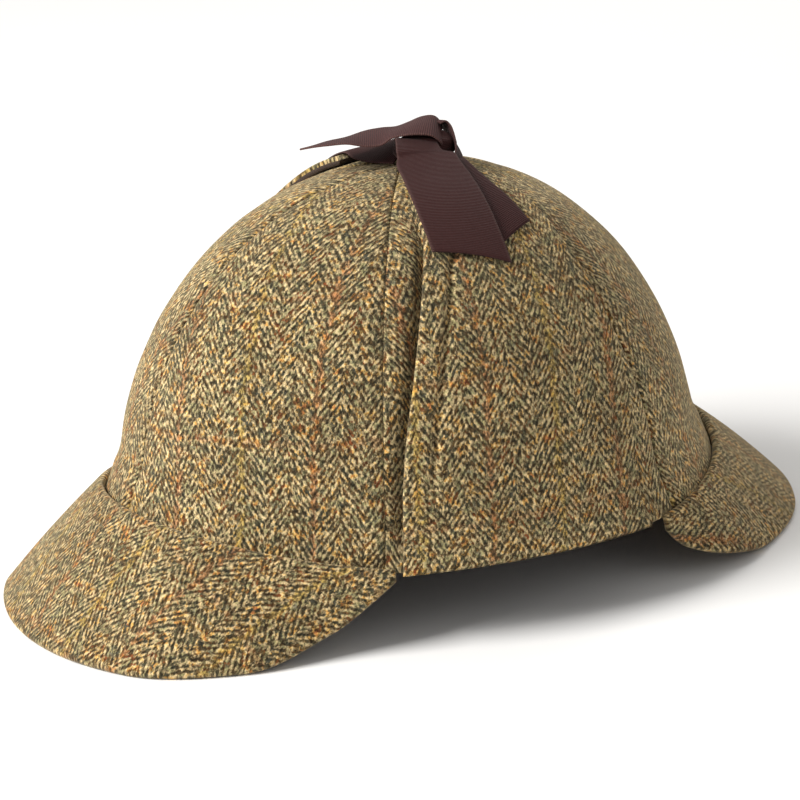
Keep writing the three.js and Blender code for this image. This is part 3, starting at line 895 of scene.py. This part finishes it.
def gather(name, shape, face):
    """An ellipsoid, its radius drawn in by seven folds that follow a sine of the angle round its
    long axis. Its poles are single points."""
    wide, deep, high = 8.0 * MM, 11.0 * MM, 5.6 * MM
    clearance = 6.0 * MM
    round_it = np.linspace(0, 2 * np.pi, 64, endpoint=False)[None, :]
    pole = np.linspace(0, np.pi, 34)[1:-1, None]
    pinch = 1 - 0.10 * np.sin(pole) * (0.5 + 0.5 * np.sin(7 * round_it + 2 * np.cos(pole)))
    x = wide * np.sin(pole) * np.cos(round_it) * pinch
    y = deep * np.cos(pole) + 0 * round_it
    z = high * np.sin(pole) * np.sin(round_it) * pinch
    plan = np.array([7.4 * MM, 8.3 * MM])
    middle = np.append(plan, crown_height(shape, plan[:1], plan[1:], np.array([clearance])))
    ring = np.stack([x, y, z], -1) + middle
    rows, columns = ring.shape[:2]
    ends = np.array([[0, deep, 0], [0, -deep, 0]]) + middle
    index = np.arange(rows * columns).reshape(rows, columns)
    wrapped = np.concatenate([index, index[:, :1]], axis=1)
    first, last = np.full(columns, rows * columns), np.full(columns, rows * columns + 1)
    near_fan = np.stack([first, wrapped[0, 1:], wrapped[0, :-1]], -1)
    far_fan = np.stack([last, wrapped[-1, :-1], wrapped[-1, 1:]], -1)
    mesh = bpy.data.meshes.new(name)
    mesh.from_pydata([*ring.reshape(-1, 3).tolist(), *ends.tolist()], [],
                     [*quads(wrapped)[:, ::-1].tolist(), *near_fan.tolist(), *far_fan.tolist()])
    mesh.materials.append(face)
    around = np.concatenate([(0 * pole + round_it * 6 * MM).ravel(), [0, 0]])
    places = np.stack([0 * around, around], -1)
    loops = np.empty(len(mesh.loops), dtype=np.int32)
    mesh.loops.foreach_get("vertex_index", loops)
    mesh.uv_layers.new(name="cloth").data.foreach_set("uv", places[loops].astype(np.float32).ravel())
    mesh.polygons.foreach_set("use_smooth", np.ones(len(mesh.polygons), dtype=bool))
    mesh.update()
    piece = bpy.data.objects.new(name, mesh)
    bpy.context.scene.collection.objects.link(piece)
    return piece


class DEERSTALKER_OT_stage(bpy.types.Operator):
    """A pale floor, soft light and the camera"""

    bl_idname = "deerstalker.stage"
    bl_label = "Stage"

    def execute(self, context):
        scene, stage = context.scene, context.scene.deerstalker_stage
        corners = np.array([(-6, -6, 0), (6, -6, 0), (6, 6, 0), (-6, 6, 0)], dtype=float)
        mesh = bpy.data.meshes.new("floor")
        mesh.from_pydata(corners.tolist(), [], [(0, 1, 2, 3)])
        mesh.materials.append(pale_floor(stage.floor))
        floor = bpy.data.objects.new("floor", mesh)
        scene.collection.objects.link(floor)
        world = bpy.data.worlds.new("studio")
        world.use_nodes = True
        world.node_tree.nodes["Background"].inputs["Color"].default_value = (1.0, 0.99, 0.97, 1)
        world.node_tree.nodes["Background"].inputs["Strength"].default_value = 0.36
        scene.world = world
        middle = Vector((0, 0, 0.075))
        for name, place, size, power, tint in (
            ("key_softbox", (-0.25, -1.5, 1.2), 1.0, 50, (1.0, 0.98, 0.95)),
            ("fill_softbox", (1.6, 0.6, 0.8), 1.4, 2.5, (1.0, 0.97, 0.93)),
            ("rim_softbox", (-1.0, 1.2, 1.3), 1.0, 10, (1.0, 0.98, 0.95)),
        ):
            data = bpy.data.lights.new(name, "AREA")
            data.size, data.energy, data.color = size, power, tint
            light = bpy.data.objects.new(name, data)
            light.location = place
            light.rotation_euler = (middle - Vector(place)).to_track_quat("-Z", "Y").to_euler()
            scene.collection.objects.link(light)
        scene.view_settings.view_transform = "Standard"
        scene.camera = camera(stage, middle)
        return {"FINISHED"}


def camera(stage, middle):
    """A camera on a sphere round the middle, rolled about its view, that aims a little lower."""
    turn, rise, roll = (np.radians(v) for v in (stage.azimuth, stage.elevation, stage.roll))
    back = Vector((np.sin(turn) * np.cos(rise), -np.cos(turn) * np.cos(rise), np.sin(rise)))
    right = Vector((np.cos(turn), np.sin(turn), 0))
    up = back.cross(right)
    rolled_up = up * np.cos(roll) - right * np.sin(roll)
    place = middle + back * stage.distance
    sight = (middle - rolled_up * stage.aim_drop - place).normalized()
    side = sight.cross(rolled_up).normalized()
    data = bpy.data.cameras.new("camera")
    data.sensor_width, data.lens = 36, stage.lens
    data.clip_start, data.clip_end = 0.05, 50
    view = bpy.data.objects.new("camera", data)
    axes = Matrix((side, side.cross(sight), -sight)).transposed().to_4x4()
    view.matrix_world = Matrix.Translation(place) @ axes
    bpy.context.scene.collection.objects.link(view)
    return view


class DEERSTALKER_PT_pieces(bpy.types.Panel):
    """Lists the hat's pieces and their sizes"""

    bl_idname = "DEERSTALKER_PT_pieces"
    bl_label = "Deerstalker"
    bl_space_type = "VIEW_3D"
    bl_region_type = "UI"
    bl_category = "Deerstalker"

    def draw(self, context):
        for operator in OPERATORS:
            self.layout.operator(operator.bl_idname)
        for group in GROUPS:
            box = self.layout.box()
            box.label(text=group[12:].title())
            for name in GROUPS[group].__annotations__:
                box.prop(getattr(context.scene, group), name)


GROUPS = {
    "deerstalker_shape": DeerstalkerShape,
    "deerstalker_sewing": DeerstalkerSewing,
    "deerstalker_tweed": DeerstalkerTweed,
    "deerstalker_ribbon": DeerstalkerRibbon,
    "deerstalker_stage": DeerstalkerStage,
}
OPERATORS = (
    DEERSTALKER_OT_crown,
    DEERSTALKER_OT_brims,
    DEERSTALKER_OT_ear_flaps,
    DEERSTALKER_OT_ribbon_leads,
    DEERSTALKER_OT_ribbon_knot,
    DEERSTALKER_OT_ribbon_tails,
    DEERSTALKER_OT_ribbon_band,
    DEERSTALKER_OT_stage,
)


def register():
    for group in (*GROUPS.values(), *OPERATORS, DEERSTALKER_PT_pieces):
        bpy.utils.register_class(group)
    for name, group in GROUPS.items():
        setattr(bpy.types.Scene, name, PointerProperty(type=group))


def unregister():
    for name in GROUPS:
        delattr(bpy.types.Scene, name)
    for group in reversed((*GROUPS.values(), *OPERATORS, DEERSTALKER_PT_pieces)):
        bpy.utils.unregister_class(group)


def main():
    register()
    bpy.ops.deerstalker.crown()
    bpy.ops.deerstalker.brims()
    bpy.ops.deerstalker.ear_flaps()
    bpy.ops.deerstalker.ribbon_leads()
    bpy.ops.deerstalker.ribbon_knot()
    bpy.ops.deerstalker.ribbon_tails()
    bpy.ops.deerstalker.ribbon_band()
    bpy.ops.deerstalker.stage()


if __name__ == "__main__":
    main()
